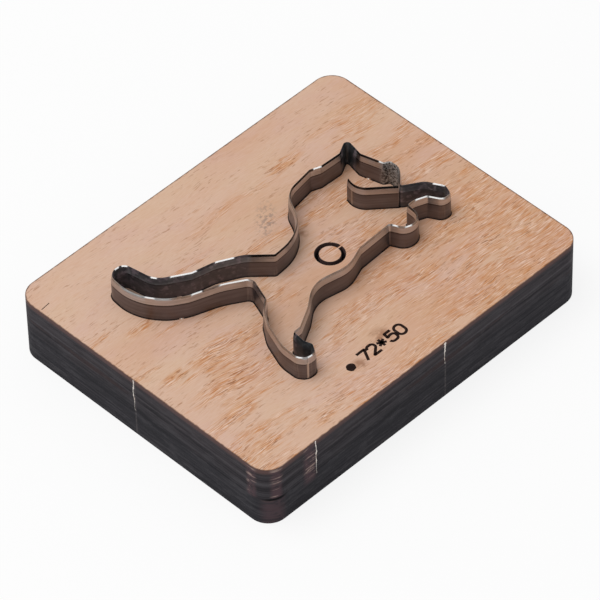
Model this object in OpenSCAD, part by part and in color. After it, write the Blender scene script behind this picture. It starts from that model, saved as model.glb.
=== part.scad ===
// Steel rule die: a plywood board with bent steel cutting rule pressed into its kerfs.
// Millimetres. X runs along the board, Z points up to the cutting edge,
// and the origin is the middle of the underside.

/* [Board] */
// Length of the board along X
board_length = 100; // [96:0.5:110]
// Depth of the board along Y
board_depth = 79; // [75:0.5:90]
// Thickness of the plywood
board_thickness = 17.2; // [15:0.1:19]
// Radius of the board's upright corners
corner_radius = 5; // [1:0.5:10]

/* [Cutting rule] */
// Height of the rule from its foot to its cutting edge
rule_height = 23.8; // [22:0.1:26]
// Thickness of the rule
rule_thickness = 0.71; // [0.5:0.01:0.9]
// Depth of the ground bevel below the cutting edge
bevel_depth = 2; // [1:0.1:2.5]
// Depth of the honed tip below the cutting edge
hone_depth = 0.55; // [0.2:0.05:0.8]
// Thickness of the rule where the honed tip starts
hone_thickness = 0.36; // [0.2:0.02:0.46]
// Width left at the very cutting edge
edge_width = 0.04; // [0.02:0.01:0.08]
// Gap where an end of rule butts against rule
butt_gap = 0.06; // [0.02:0.01:0.2]
// Smallest radius that the rule is bent to on the inside of a bend
least_inside_radius = 0.1; // [0.05:0.05:0.2]

/* [Cut shape] */
// Length of the cut shape along X
cut_length = 72; // [66:0.5:76]

/* [Kerfs and bridges] */
// Clearance between each side of the rule and its kerf
kerf_clearance = 0.03; // [0.01:0.01:0.08]
// Length of board left uncut at each bridge
bridge_length = 1; // [0.6:0.1:1.2]
// Clearance between a bridge and the notch in the rule that straddles it
notch_clearance = 0.2; // [0.1:0.05:0.3]

/* [Ring] */
// Outer diameter of the ring that is cut inside the shape
ring_diameter = 6.9; // [5:0.1:9]
// Width of the ring's kerf
ring_kerf = 0.8; // [0.4:0.1:1.2]
// Width of the uncut tab that holds the ring's disc
ring_tab = 0.5; // [0.3:0.1:1]

/* [Hidden] */
$fn = 96;

// How far a cutter runs past the face that it cuts
cut_over = 1;
// Millimetres in a metre
metre = 1000;

// Each corner of the rule is [x, y, bend radius], as drawn for the drawn length.
// A fourth value puts a bridge on the straight after the corner, at that share of it.
drawn_length = 72;

// Closing joint, under the toe of the hind foot
toe_joint = [[-23, -25.05, 0]];
// Sole, heel and back of the hind leg, up to the root of the tail
hind_leg = [
    [-23.5, -24.8, 1.5],
    [-24.5, -23.5, 2],
    [-24.5, -19, 10],
    [-22, -12.1, 10],
    [-18.9, -7.7, 5],
    [-16.7, -6, 0.8],
    [-14.4, 0.4, 2]
];
// Underside of the tail and its round tip
tail_under = [
    [-20.6, 4.2, 20],
    [-27.9, 6.85, 8, 0.51],
    [-31.8, 9.3, 10],
    [-35.1, 13.5, 13],
    [-36.35, 18.3, 11],
    [-35.7, 24.4, 2.7],
    [-31.1, 24.4, 2.2]
];
// Upper side of the tail, down to the rump
tail_over = [
    [-29.6, 15.7, 5.5, 0.5],
    [-22.5, 11.4, 2],
    [-16.6, 10, 10],
    [-10.7, 6.9, 8],
    [-5.8, 2, 0.6]
];
// Back, neck and crown
back = [
    [4.4, 2.8, 13],
    [9.6, 13.8, 6],
    [18.4, 15.2, 1],
    [21, 14.2, 1.5],
    [26.8, 14, 0.8]
];
// Pointed ear, brow and nose, down to the corner of the mouth
face = [
    [31.3, 16.4, 0.95],
    [30, 10.5, 0.8, 0.37],
    [31.6, 4.7, 0.6],
    [33, 4, 1],
    [33, 1.1, 3.2],
    [28.9, -3.1, 0.5]
];
// Raised foreleg with its round paw, back to the wrist
foreleg = [
    [33.7, -6.1, 4, 0.5],
    [36, -10.3, 1.6],
    [35, -12.9, 1.2],
    [32.6, -12.9, 1.8],
    [30.8, -9.6, 1],
    [27.7, -8.4, 3],
    [25.7, -8.4, 0.5, 0.5]
];
// Second paw, drawn up under the chest
chest = [
    [25.3, -13.4, 3],
    [20.4, -13.4, 3],
    [18.6, -9.6, 0.8]
];
// Belly and front of the hind leg, down to the ankle
belly = [
    [8.7, -10.1, 1.5],
    [3.2, -12.2, 8],
    [-6.3, -10.2, 8],
    [-12, -14.5, 5],
    [-17.6, -17.6, 0.8],
    [-19.7, -17.7, 0.5, 0.5]
];
// Upper side of the hind foot, round to the toe
hind_foot = [
    [-20.1, -21.2, 0.8],
    [-19.4, -23.2, 0.9],
    [-20.7, -25.3, 1.2],
    [-22.5, -25.3, 1.5]
];
// Slit from the corner of the mouth up behind the jaw
jaw_slit = [
    [21.5, 3.45, 4],
    [22.4, 6.95, 0]
];
// Middle of the ring inside the shape, as drawn
ring_at = [7.25, -2.15];

kerf_width = rule_thickness + 2 * kerf_clearance;
drawn_scale = cut_length / drawn_length;
least_bend_radius = kerf_width / 2 + least_inside_radius;

drawn_outline = concat(
    toe_joint, hind_leg, tail_under, tail_over, back, face, foreleg, chest, belly, hind_foot, toe_joint
);
outline = full_size(drawn_outline);
slit = full_size(concat([face[len(face) - 1]], jaw_slit));

outline_strip = trimmed(outline, butt_gap / 2, butt_gap / 2);
slit_strip = trimmed(slit, rule_thickness / 2 + butt_gap, 0);
slit_kerf = trimmed(slit, 0, -kerf_clearance);

// A drawn path at the size of the cut shape, with no bend tighter than the rule allows
function full_size(path) = [
    for (p = path) [p[0] * drawn_scale, p[1] * drawn_scale, max(p[2] * drawn_scale, least_bend_radius), p[3]]
];

// The point that lies a distance along the way from p to q, with p's other values
function moved(p, q, distance) = let (way = [q[0] - p[0], q[1] - p[1]] / norm([q[0] - p[0], q[1] - p[1]]))
    [p[0] + distance * way[0], p[1] + distance * way[1], p[2], p[3]];

// A path with a length taken off its start and its end
function trimmed(path, off_start, off_end) = let (last = len(path) - 1) [
    moved(path[0], path[1], off_start),
    for (i = [1:last - 1]) path[i],
    moved(path[last], path[last - 1], off_end)
];

// Direction of the leg that leaves corner i
function heading(path, i) = atan2(path[i + 1][1] - path[i][1], path[i + 1][0] - path[i][0]);

// Turn at corner i, in degrees, positive to the left
function turn(path, i) = let (change = heading(path, i) - heading(path, i - 1))
    change - 360 * round(change / 360);

// Length that the bend at corner i takes from each leg beside it
function bend_reach(path, i) =
    i == 0 || i == len(path) - 1 ? 0 : path[i][2] * tan(abs(turn(path, i)) / 2);

// Length of the straight that is left on the leg after corner i
function straight_length(path, i) =
    norm([path[i + 1][0] - path[i][0], path[i + 1][1] - path[i][1]])
    - bend_reach(path, i) - bend_reach(path, i + 1);

// Places its children at the start of the straight after corner i, with X along it
module on_straight(path, i) {
    translate([path[i][0], path[i][1], 0])
    rotate(heading(path, i))
    translate([bend_reach(path, i), 0, 0])
    children();
}

// Runs a cross-section along the straight after corner i
module straight(path, i) {
    on_straight(path, i)
    rotate([90, 0, 90])
    linear_extrude(straight_length(path, i))
    children();
}

// Runs a cross-section round the bend at corner i
module bend(path, i) {
    angle = turn(path, i);
    radius = path[i][2];
    translate([path[i][0], path[i][1], 0])
    rotate(heading(path, i - 1))
    translate([-bend_reach(path, i), sign(angle) * radius, 0])
    rotate(angle > 0 ? -90 : 90 + angle)
    rotate_extrude(angle = abs(angle))
    translate([radius, 0])
    children();
}

// Runs a cross-section along a whole path, worked in metres and enlarged to millimetres
module along(path) {
    path_m = [for (p = path) [p[0] / metre, p[1] / metre, p[2] / metre]];
    scale(metre) {
        for (i = [0:len(path) - 2]) {
            straight(path_m, i) scale(1 / metre) children();
        }
        for (i = [1:len(path) - 2]) {
            bend(path_m, i) scale(1 / metre) children();
        }
    }
}

// Blocks across the path at its bridges, of a given length and height from below the foot
module at_bridges(path, length, height) {
    for (i = [0:len(path) - 2]) {
        if (is_num(path[i][3])) {
            on_straight(path, i)
            translate([straight_length(path, i) * path[i][3] - length / 2, -kerf_width / 2 - cut_over, -cut_over])
            cube([length, kerf_width + 2 * cut_over, height + cut_over]);
        }
    }
}

// Cross-section of the rule: flat sides, ground bevels and a honed tip
module rule_section() {
    half = rule_thickness / 2;
    shoulder = rule_height - bevel_depth;
    hone = rule_height - hone_depth;
    polygon([
        [-half, 0],
        [half, 0],
        [half, shoulder],
        [hone_thickness / 2, hone],
        [edge_width / 2, rule_height],
        [-edge_width / 2, rule_height],
        [-hone_thickness / 2, hone],
        [-half, shoulder]
    ]);
}

// Cross-section of a kerf that runs through the board
module kerf_section() {
    translate([-kerf_width / 2, -cut_over]) square([kerf_width, board_thickness + 2 * cut_over]);
}

// Rectangular plate with round corners
module plate() {
    inner_length = board_length - 2 * corner_radius;
    inner_depth = board_depth - 2 * corner_radius;
    translate([-inner_length / 2, -board_depth / 2, 0]) cube([inner_length, board_depth, board_thickness]);
    translate([-board_length / 2, -inner_depth / 2, 0]) cube([board_length, inner_depth, board_thickness]);
    for (x = [-1, 1], y = [-1, 1]) {
        translate([x * inner_length / 2, y * inner_depth / 2, 0]) cylinder(r = corner_radius, h = board_thickness);
    }
}

// Ring-shaped kerf through the board, open but for one tab that holds its disc
module ring_cut() {
    through = board_thickness + 2 * cut_over;
    translate([ring_at[0] * drawn_scale, ring_at[1] * drawn_scale, -cut_over])
    difference() {
        cylinder(d = ring_diameter, h = through);
        translate([0, 0, -cut_over]) cylinder(d = ring_diameter - 2 * ring_kerf, h = through + 2 * cut_over);
        translate([0, -ring_tab / 2, -cut_over]) cube([ring_diameter, ring_tab, through + 2 * cut_over]);
    }
}

// Plywood board with the rule's kerfs, left whole at the bridges
module die_board() {
    color("tan")
    difference() {
        plate();
        difference() {
            along(outline) kerf_section();
            at_bridges(outline, bridge_length, board_thickness + 2 * cut_over);
        }
        along(slit_kerf) kerf_section();
        ring_cut();
    }
}

// Rule bent round the whole outline, with its ends meeting under the toe
module outline_rule() {
    color("dimgray")
    difference() {
        along(outline_strip) rule_section();
        at_bridges(outline, bridge_length + 2 * notch_clearance, board_thickness + notch_clearance);
    }
}

// Short rule that cuts the slit, with one end butted against the outline rule
module slit_rule() {
    color("gray")
    along(slit_strip) rule_section();
}

die_board();
outline_rule();
slit_rule();
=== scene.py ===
"""Looks of a steel rule die: veneer and char on the board, bent rule, burnt marks and a studio."""

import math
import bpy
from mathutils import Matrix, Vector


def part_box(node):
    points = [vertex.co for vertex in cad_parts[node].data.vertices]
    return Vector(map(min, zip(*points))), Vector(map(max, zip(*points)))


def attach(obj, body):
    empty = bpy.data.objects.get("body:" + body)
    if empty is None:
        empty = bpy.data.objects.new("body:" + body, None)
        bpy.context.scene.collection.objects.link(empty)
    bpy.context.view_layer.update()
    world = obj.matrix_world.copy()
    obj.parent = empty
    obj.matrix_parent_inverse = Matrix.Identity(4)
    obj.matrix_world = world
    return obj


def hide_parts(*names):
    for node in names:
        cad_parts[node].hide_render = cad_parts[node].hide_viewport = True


bl_info = {
    "name": "Steel Rule Die",
    "version": (1, 0, 0),
    "blender": (4, 5, 0),
    "location": "3D View > Sidebar > Steel Rule Die",
    "description": "Dresses a plywood steel rule die on its packed solids",
    "category": "Object",
}

import bmesh
import bpy
from mathutils import Quaternion, Vector, noise

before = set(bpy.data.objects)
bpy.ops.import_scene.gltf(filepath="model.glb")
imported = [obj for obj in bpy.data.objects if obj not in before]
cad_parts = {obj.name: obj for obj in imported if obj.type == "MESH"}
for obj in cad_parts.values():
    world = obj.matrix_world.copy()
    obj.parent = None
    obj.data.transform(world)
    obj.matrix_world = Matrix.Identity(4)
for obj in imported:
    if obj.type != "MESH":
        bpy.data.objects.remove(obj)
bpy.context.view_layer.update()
BOARD_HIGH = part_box("die_board")[1]
RULE_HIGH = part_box("outline_rule")[1]

# Lengths here are millimetres, those of the stage are metres, and meshes are written in metres.
MM = 0.001
HALF_LENGTH, HALF_DEPTH = BOARD_HIGH.x / MM, BOARD_HIGH.y / MM
BOARD_TOP = BOARD_HIGH.z / MM
RULE_TOP = RULE_HIGH.z / MM
# Height of charred lips and burnt strokes above the veneer.
BURN_HEIGHT = 0.02

# Corners of the bent rule: x, y, bend radius and, on some, the place of a bridge on the straight after it.
OUTLINE = (
    (-23, -25.05, 0),
    (-23.5, -24.8, 1.5), (-24.5, -23.5, 2), (-24.5, -19, 10), (-22, -12.1, 10),
    (-18.9, -7.7, 5), (-16.7, -6, 0.8), (-14.4, 0.4, 2),
    (-20.6, 4.2, 20), (-27.9, 6.85, 8, 0.51), (-31.8, 9.3, 10), (-35.1, 13.5, 13), (-36.35, 18.3, 11),
    (-35.7, 24.4, 2.7), (-31.1, 24.4, 2.2),
    (-29.6, 15.7, 5.5, 0.5), (-22.5, 11.4, 2), (-16.6, 10, 10), (-10.7, 6.9, 8), (-5.8, 2, 0.6),
    (4.4, 2.8, 13), (9.6, 13.8, 6), (18.4, 15.2, 1), (21, 14.2, 1.5), (26.8, 14, 0.8),
    (31.3, 16.4, 0.95), (30, 10.5, 0.8, 0.37), (31.6, 4.7, 0.6), (33, 4, 1), (33, 1.1, 3.2),
    (28.9, -3.1, 0.5), (33.7, -6.1, 4, 0.5), (36, -10.3, 1.6), (35, -12.9, 1.2), (32.6, -12.9, 1.8),
    (30.8, -9.6, 1), (27.7, -8.4, 3), (25.7, -8.4, 0.5, 0.5),
    (25.3, -13.4, 3), (20.4, -13.4, 3), (18.6, -9.6, 0.8),
    (8.7, -10.1, 1.5), (3.2, -12.2, 8), (-6.3, -10.2, 8), (-12, -14.5, 5),
    (-17.6, -17.6, 0.8), (-19.7, -17.7, 0.5, 0.5),
    (-20.1, -21.2, 0.8), (-19.4, -23.2, 0.9), (-20.7, -25.3, 1.2), (-22.5, -25.3, 1.5),
    (-23, -25.05, 0),
)
JAW_SLIT = ((28.9, -3.1, 0), (21.5, 3.45, 4), (22.4, 6.95, 0))

# Dark spots on the inside of the rule, partly soot and partly painted shade deep in the narrow tail, arm,
# ear and toe: x, y, reach and depth of the darkening.
SOOT_AND_SHADE_SPOTS = (
    (30.9, 15.4, 4.2, 1.0),
    (-20.3, -23.2, 3.0, 1.0), (-20.0, -20.4, 2.6, 0.9),
    (-33.2, 24.2, 4.0, 0.68), (-35.8, 21.5, 3.2, 0.5), (-30.4, 20.0, 4.0, 0.56),
    (-29.0, 15.6, 4.5, 0.55), (-25.5, 13.2, 4.5, 0.52), (-21.5, 11.2, 4.5, 0.5), (-17.5, 10.2, 4.5, 0.48),
    (-13.8, 8.6, 4.0, 0.48), (-11.6, 7.2, 3.0, 0.46),
    (29.4, -3.5, 1.6, 0.55), (31.2, -4.6, 3.2, 0.62), (33.9, -6.6, 3.2, 0.66), (35.7, -10.0, 2.8, 0.7),
    (34.4, -12.7, 2.0, 0.6),
    (30.4, 8.6, 3.0, 0.2),
)
# Nose, pitted on the inside: x, y and reach.
PITTED_SPOT = (33.0, 2.6, 3.6)
# Bright upright lines: bare steel at the closing joint, and a painted highlight on the bend of the slit's
# hook: x, y, half width and brightness.
BARE_AND_HIGHLIGHT_LINES = ((-22.95, -25.08, 0.25, 0.7), (22.05, 5.1, 0.3, 0.3))
# Clusters of dark flecks in the veneer, and a calm spot round the mark: x, y and reach across the grain.
FLECK_SPOTS = (
    (33.3, -15.0, 1.8), (34.4, -24.2, 1.7), (25.7, -33.4, 1.2), (17.9, -21.4, 1.6), (20.3, 25.5, 1.6),
    (-31.5, -4.6, 2.3), (-37.6, 12.1, 1.3), (-43.0, -4.2, 1.3), (-36.1, -13.4, 2.6), (-40.4, -21.5, 1.8),
    (-43.0, -33.0, 1.5), (-28.6, -36.0, 1.2),
)
CALM_SPOT = (-4.0, -29.0, 11.0)
# Share by which those spots are squeezed along the grain, so that they reach farther that way.
GRAIN_SQUEEZE = 0.36
# Smoke stains on the veneer: x, y and reach.
SMOKE_SPOTS = ((-12.4, -30.7, 2.6), (-2.8, -28.0, 3.4), (7.6, 6.6, 1.6))
# Grey smudge behind the neck: places along and across its slant, and reach.
NECK_SMUDGE = (20.4, -4.2, 11.5)
# Distance from the middle line of the tail's tip, where the veneer gets painted shade, as shares of x and y
# and a start.
TAIL_ACROSS = (0.991, 0.136, 29.97)
# Pale seams on the sides, below two of the tabs: x, y and reach.
PALE_SEAMS = ((-HALF_LENGTH, 1.6, 0.34), (5.5, -HALF_DEPTH, 0.34))
# Thin char at the end of the near corner, low on that corner and by one tab: x, y and reach.
CORNER_END, CORNER_LOW, BARE_TAB = (-46.8, -39.2, 2.0), (-47.6, -38.8, 3.8), (-37.0, -39.5, 2.6)
# Reach of the thin char at the start of that corner.
CORNER_REACH = 1.8
# Open ply low on that corner: x, y and reach, and its height.
OPEN_PLY, OPEN_PLY_HEIGHT = (-47.0, -38.9, 4.2), 7.6
# Stretches where the honed edge carries a painted white highlight, from end to end.
PAINTED_GLINTS = (
    (-26.5, 13.6, -21.6, 10.9), (-16.3, 9.9, -13.0, 8.2), (-29.7, 16.6, -29.3, 15.9),
    (-33.4, 24.4, -32.8, 24.4), (-31.5, 24.0, -31.1, 23.4),
    (-34.7, 13.1, -34.0, 12.0), (-26.8, 6.4, -25.2, 5.9), (-20.4, 4.1, -15.6, 1.2),
    (-24.3, -23.7, -24.1, -24.0), (-22.4, -25.2, -22.2, -25.25),
    (19.7, 14.7, 20.7, 14.3), (31.4, 5.4, 31.8, 4.6), (32.6, 4.2, 33.0, 3.6),
    (34.8, -8.1, 35.8, -10.0), (28.6, -8.6, 30.4, -9.4), (31.2, -10.4, 32.4, -12.5),
    (19.1, -10.8, 19.2, -11.1), (20.7, -13.3, 21.4, -13.4),
)

# Height of the row of points that carries the soot and painted shade up the rule's side.
SIDE_ROW = 19.6
# Close steps by the ends of a rule, for the bare line at the joint, and how many there are.
END_STEP, END_STEPS = 0.08, 7
# Start of the honed tip: how it waves, and how far it is worn up and out on the stretches with painted
# highlights.
HONE_WAVE, HONE_SWELL = 0.09, 0.02
WORN_RISE, WORN_SWELL = 0.3, 0.03
# Bends tighter than this, as one over the radius, show creases with painted highlights.
CREASE_HIGHLIGHT_BEND = 0.45
# Keeps the patterns of a strip's two sides apart.
SIDES_APART = 40.0

# Strokes of the numerals on a cell one unit high, as corners with bend radii.
NUMERALS = {
    "0": (((0.41, 1, 0), (0.05, 1, 0.34), (0.05, 0, 0.34), (0.77, 0, 0.34), (0.77, 1, 0.34),
           (0.41, 1, 0)),),
    "2": (((0.05, 0.74, 0), (0.06, 1, 0.24), (0.72, 1, 0.27), (0.74, 0.6, 0.22), (0.06, 0.03, 0.02),
           (0.8, 0.03, 0)),),
    "5": (((0.74, 0.98, 0), (0.16, 0.98, 0.02), (0.1, 0.55, 0.03), (0.36, 0.64, 0.1), (0.78, 0.64, 0.26),
           (0.78, 0, 0.28), (0.06, 0, 0.26), (0.04, 0.2, 0)),),
    "7": (((0.02, 0.98, 0), (0.82, 0.98, 0.02), (0.3, 0, 0)),),
    "*": (((0.37, 0.17, 0), (0.37, 0.93, 0)), ((0.03, 0.36, 0), (0.71, 0.74, 0)),
          ((0.03, 0.74, 0), (0.71, 0.36, 0))),
}


class BoardLook(bpy.types.PropertyGroup):
    """Sizes and colours of the plywood board's finish."""

    corner_radius: bpy.props.FloatProperty(
        name="Corner Radius", description="Radius of the board's upright corners",
        default=5 * MM, unit="LENGTH")
    scorch_width: bpy.props.FloatProperty(
        name="Scorch Width", description="Width of the scorched line along the edge of a face",
        default=0.4 * MM, unit="LENGTH")
    lip_width: bpy.props.FloatProperty(
        name="Kerf Lip", description="Width of the charred lip on each side of a kerf",
        default=0.16 * MM, unit="LENGTH")
    ring_place: bpy.props.FloatVectorProperty(
        name="Ring Place", description="Middle of the ring kerf",
        default=(7.25 * MM, -2.15 * MM), size=2, unit="LENGTH")
    ring_diameter: bpy.props.FloatProperty(
        name="Ring Diameter", description="Outer diameter of the ring kerf",
        default=6.9 * MM, unit="LENGTH")
    ring_kerf: bpy.props.FloatProperty(
        name="Ring Kerf", description="Width of the ring kerf",
        default=0.8 * MM, unit="LENGTH")
    ring_tab: bpy.props.FloatProperty(
        name="Ring Tab", description="Width of the tab that holds the ring's disc",
        default=0.5 * MM, unit="LENGTH")
    veneer_pale: bpy.props.FloatVectorProperty(
        name="Pale Veneer", description="Colour of the palest veneer",
        default=(0.668, 0.46, 0.348), subtype="COLOR", min=0, max=1)
    veneer_warm: bpy.props.FloatVectorProperty(
        name="Warm Veneer", description="Colour of the redder veneer",
        default=(0.62, 0.37, 0.247), subtype="COLOR", min=0, max=1)
    fleck: bpy.props.FloatVectorProperty(
        name="Grain Fleck", description="Colour of the short flecks in the grain",
        default=(0.55, 0.24, 0.095), subtype="COLOR", min=0, max=1)
    char: bpy.props.FloatVectorProperty(
        name="Char", description="Colour of the laser-charred sides",
        default=(0.029, 0.028, 0.033), subtype="COLOR", min=0, max=1)
    brown_char: bpy.props.FloatVectorProperty(
        name="Brown Char", description="Colour of the sides where the char is thin",
        default=(0.088, 0.056, 0.064), subtype="COLOR", min=0, max=1)


class RuleLook(bpy.types.PropertyGroup):
    """Sizes and colours of the cutting rule."""

    thickness: bpy.props.FloatProperty(
        name="Thickness", description="Thickness of the rule",
        default=0.71 * MM, unit="LENGTH")
    bevel_depth: bpy.props.FloatProperty(
        name="Bevel Depth", description="Depth of the ground bevel below the edge",
        default=2 * MM, unit="LENGTH")
    hone_depth: bpy.props.FloatProperty(
        name="Hone Depth", description="Depth of the honed tip below the edge",
        default=0.55 * MM, unit="LENGTH")
    hone_thickness: bpy.props.FloatProperty(
        name="Hone Thickness", description="Thickness where the honed tip starts",
        default=0.36 * MM, unit="LENGTH")
    edge_width: bpy.props.FloatProperty(
        name="Edge Width", description="Width left at the cutting edge",
        default=0.04 * MM, unit="LENGTH")
    butt_gap: bpy.props.FloatProperty(
        name="Butt Gap", description="Gap where an end of rule meets rule",
        default=0.06 * MM, unit="LENGTH")
    kerf_clearance: bpy.props.FloatProperty(
        name="Kerf Clearance", description="Clearance between the rule and its kerf",
        default=0.03 * MM, unit="LENGTH")
    bridge_length: bpy.props.FloatProperty(
        name="Bridge", description="Length of board left uncut at a bridge",
        default=1 * MM, unit="LENGTH")
    notch_clearance: bpy.props.FloatProperty(
        name="Notch Clearance", description="Clearance between a bridge and the rule's notch",
        default=0.2 * MM, unit="LENGTH")
    tempered: bpy.props.FloatVectorProperty(
        name="Tempered Side", description="Colour of the dark tempered sides",
        default=(0.16, 0.145, 0.157), subtype="COLOR", min=0, max=1)
    ground: bpy.props.FloatVectorProperty(
        name="Ground Bevel", description="Colour of the ground bevel",
        default=(0.49, 0.475, 0.485), subtype="COLOR", min=0, max=1)
    honed: bpy.props.FloatVectorProperty(
        name="Honed Edge", description="Colour of the honed edge",
        default=(0.05, 0.047, 0.047), subtype="COLOR", min=0, max=1)
    # Colour of the painted highlights along the glints of the honed edge
    painted_highlight: bpy.props.FloatVectorProperty(
        name="Burnished Edge", description="Colour of the honed edge where it is rubbed bright",
        default=(0.97, 0.965, 0.96), subtype="COLOR", min=0, max=1)


class MarkLook(bpy.types.PropertyGroup):
    """Size mark burnt into the board's top."""

    numerals: bpy.props.StringProperty(
        name="Numerals", description="Size of the cut shape in millimetres",
        default="72*50")
    place: bpy.props.FloatVectorProperty(
        name="Place", description="Foot of the first numeral",
        default=(-10.95 * MM, -31.1 * MM), size=2, unit="LENGTH")
    height: bpy.props.FloatProperty(
        name="Height", description="Height of a numeral",
        default=3.05 * MM, unit="LENGTH")
    pitch: bpy.props.FloatProperty(
        name="Pitch", description="Distance from one numeral to the next",
        default=2.78 * MM, unit="LENGTH")
    stroke: bpy.props.FloatProperty(
        name="Stroke", description="Width of a burnt stroke",
        default=0.68 * MM, unit="LENGTH")
    burn: bpy.props.FloatVectorProperty(
        name="Burn", description="Colour of the burnt strokes",
        default=(0.017, 0.009, 0.007), subtype="COLOR", min=0, max=1)


class StageLook(bpy.types.PropertyGroup):
    """Floor, light and camera."""

    floor: bpy.props.FloatVectorProperty(
        name="Floor", description="Colour of the floor",
        default=(0.9, 0.9, 0.9), subtype="COLOR", min=0, max=1)
    key_power: bpy.props.FloatProperty(
        name="Overhead Light", description="Power of the overhead softbox",
        default=9.5, unit="POWER")
    ambient: bpy.props.FloatProperty(
        name="Ambient", description="Strength of the light from all round",
        default=0.5)
    camera_place: bpy.props.FloatVectorProperty(
        name="Camera", description="Place of the camera",
        default=(-0.579412, -0.597218, 0.875563), subtype="TRANSLATION", unit="LENGTH")
    camera_aim: bpy.props.FloatVectorProperty(
        name="Aim", description="Point that the camera looks at",
        default=(-0.0075133, -0.0073589, 0.0172), subtype="TRANSLATION", unit="LENGTH")
    camera_roll: bpy.props.FloatProperty(
        name="Roll", description="Turn of the camera about its view",
        default=math.radians(-1.4875), subtype="ANGLE")
    lens: bpy.props.FloatProperty(
        name="Lens", description="Focal length in millimetres on a 36 mm sensor",
        default=321.5)


class BentPath:
    """A path of straights joined by round bends, measured along its length."""

    def __init__(self, corners):
        self.runs = []
        self.bridges = []
        self.length = 0.0
        points = [Vector(corner[:2]) for corner in corners]
        headings = [math.atan2(q.y - p.y, q.x - p.x) for p, q in zip(points, points[1:])]
        turns = [0.0]
        for before, after in zip(headings, headings[1:]):
            turns.append(math.remainder(after - before, math.tau))
        turns.append(0.0)
        reaches = [corner[2] * math.tan(abs(turn) / 2) for corner, turn in zip(corners, turns)]
        for i, heading in enumerate(headings):
            way = Vector((math.cos(heading), math.sin(heading)))
            straight = (points[i + 1] - points[i]).length - reaches[i] - reaches[i + 1]
            if len(corners[i]) > 3:
                self.bridges.append(self.length + straight * corners[i][3])
            self._add(points[i] + way * reaches[i], heading, straight, 0.0)
            if turns[i + 1]:
                radius = corners[i + 1][2]
                curve = math.copysign(1 / radius, turns[i + 1]) if radius else 0.0
                start = points[i + 1] - way * reaches[i + 1]
                self._add(start, heading, abs(turns[i + 1]) * radius, curve)

    def _add(self, start, heading, length, curve):
        if length > 1e-9:
            self.runs.append((self.length, length, start, heading, curve))
            self.length += length

    def at(self, distance):
        """Place, heading and curvature at a distance along the path."""
        for begin, length, start, heading, curve in self.runs:
            if distance <= begin + length + 1e-9:
                break
        along = distance - begin
        if curve == 0:
            return start + along * Vector((math.cos(heading), math.sin(heading))), heading, curve
        turned = heading + curve * along
        step = Vector((math.sin(turned) - math.sin(heading), math.cos(heading) - math.cos(turned))) / curve
        return start + step, turned, curve

    def stations(self, low=0.0, high=None, also=(), step=0.5, turn_step=math.radians(6)):
        """Distances along the path that follow every bend closely, with some others among them."""
        high = self.length if high is None else high
        marks = {round(d, 6) for d in (low, high, *also)}
        for begin, length, _, _, curve in self.runs:
            count = max(1, math.ceil(length / step), math.ceil(length * abs(curve) / turn_step))
            marks.update(round(begin + length * k / count, 6) for k in range(count + 1))
        kept = []
        for distance in sorted(marks):
            if low - 1e-6 <= distance <= high + 1e-6 and (not kept or distance - kept[-1] > 1e-4):
                kept.append(distance)
        return kept


def beside(path, distance, offset):
    """Point at an offset to the left of a path."""
    point, heading, _ = path.at(distance)
    return point + offset * Vector((-math.sin(heading), math.cos(heading)))


def new_piece(name, mesh, materials, replaced=()):
    """Puts a mesh in the scene as a piece of the die."""
    for material in materials:
        mesh.materials.append(material)
    piece = bpy.data.objects.new(name, mesh)
    bpy.context.scene.collection.objects.link(piece)
    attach(piece, "root")
    for node in replaced:
        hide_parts(node)
    return piece


def add_point(bm, x, y, z):
    """Adds a point given in millimetres."""
    return bm.verts.new((x * MM, y * MM, z * MM))


def add_band(bm, path, stations, left, right, height=BURN_HEIGHT):
    """Adds a closed band on the board's top along a path, between two offsets from it."""
    closed = (path.at(stations[0])[0] - path.at(stations[-1])[0]).length < 1e-6
    if closed:
        stations = stations[:-1]
    top = BOARD_TOP + height
    rings = []
    for distance in stations:
        ring = []
        for offset, z in ((left, BOARD_TOP), (left, top), (right, top), (right, BOARD_TOP)):
            point = beside(path, distance, offset)
            ring.append(add_point(bm, point.x, point.y, z))
        rings.append(ring)
    pairs = list(zip(rings, rings[1:]))
    if closed:
        pairs.append((rings[-1], rings[0]))
    else:
        bm.faces.new(rings[0])
        bm.faces.new(reversed(rings[-1]))
    for a, b in pairs:
        for j in range(4):
            k = (j + 1) % 4
            bm.faces.new((a[j], b[j], b[k], a[k]))


def add_dot(bm, x, y, radius):
    """Adds a flat burnt dot on the board's top, with a slightly uneven rim."""
    count = 28
    rings = []
    for z in (BOARD_TOP, BOARD_TOP + BURN_HEIGHT):
        ring = []
        for k in range(count):
            angle = math.tau * k / count
            way_x, way_y = math.cos(angle), math.sin(angle)
            reach = radius * (1 + 0.1 * noise.noise(Vector((2 * way_x, 2 * way_y, 0.3))))
            ring.append(add_point(bm, x + reach * way_x, y + reach * way_y, z))
        rings.append(ring)
    bm.faces.new(reversed(rings[0]))
    bm.faces.new(rings[1])
    for k in range(count):
        j = (k + 1) % count
        bm.faces.new((rings[0][k], rings[0][j], rings[1][j], rings[1][k]))


def finished_mesh(bm, name):
    """Closes a bmesh into a new mesh with its faces turned outward."""
    bmesh.ops.recalc_face_normals(bm, faces=bm.faces)
    mesh = bpy.data.meshes.new(name)
    bm.to_mesh(mesh)
    bm.free()
    return mesh


class Nodes:
    """Lays out the nodes of one tree."""

    def __init__(self, tree):
        self.tree = tree
        tree.nodes.clear()

    def node(self, kind, **settings):
        made = self.tree.nodes.new(kind)
        for key, value in settings.items():
            setattr(made, key, value)
        return made

    def join(self, source, target):
        """Links a socket to another, or sets it to a value."""
        if isinstance(source, bpy.types.NodeSocket):
            self.tree.links.new(source, target)
        else:
            target.default_value = source

    def math(self, operation, a, b=None, c=None):
        made = self.node("ShaderNodeMath", operation=operation)
        for value, socket in zip((a, b, c), made.inputs):
            if value is not None:
                self.join(value, socket)
        return made.outputs[0]

    def times(self, a, b):
        return self.math("MULTIPLY", a, b)

    def most(self, a, b):
        return self.math("MAXIMUM", a, b)


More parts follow.
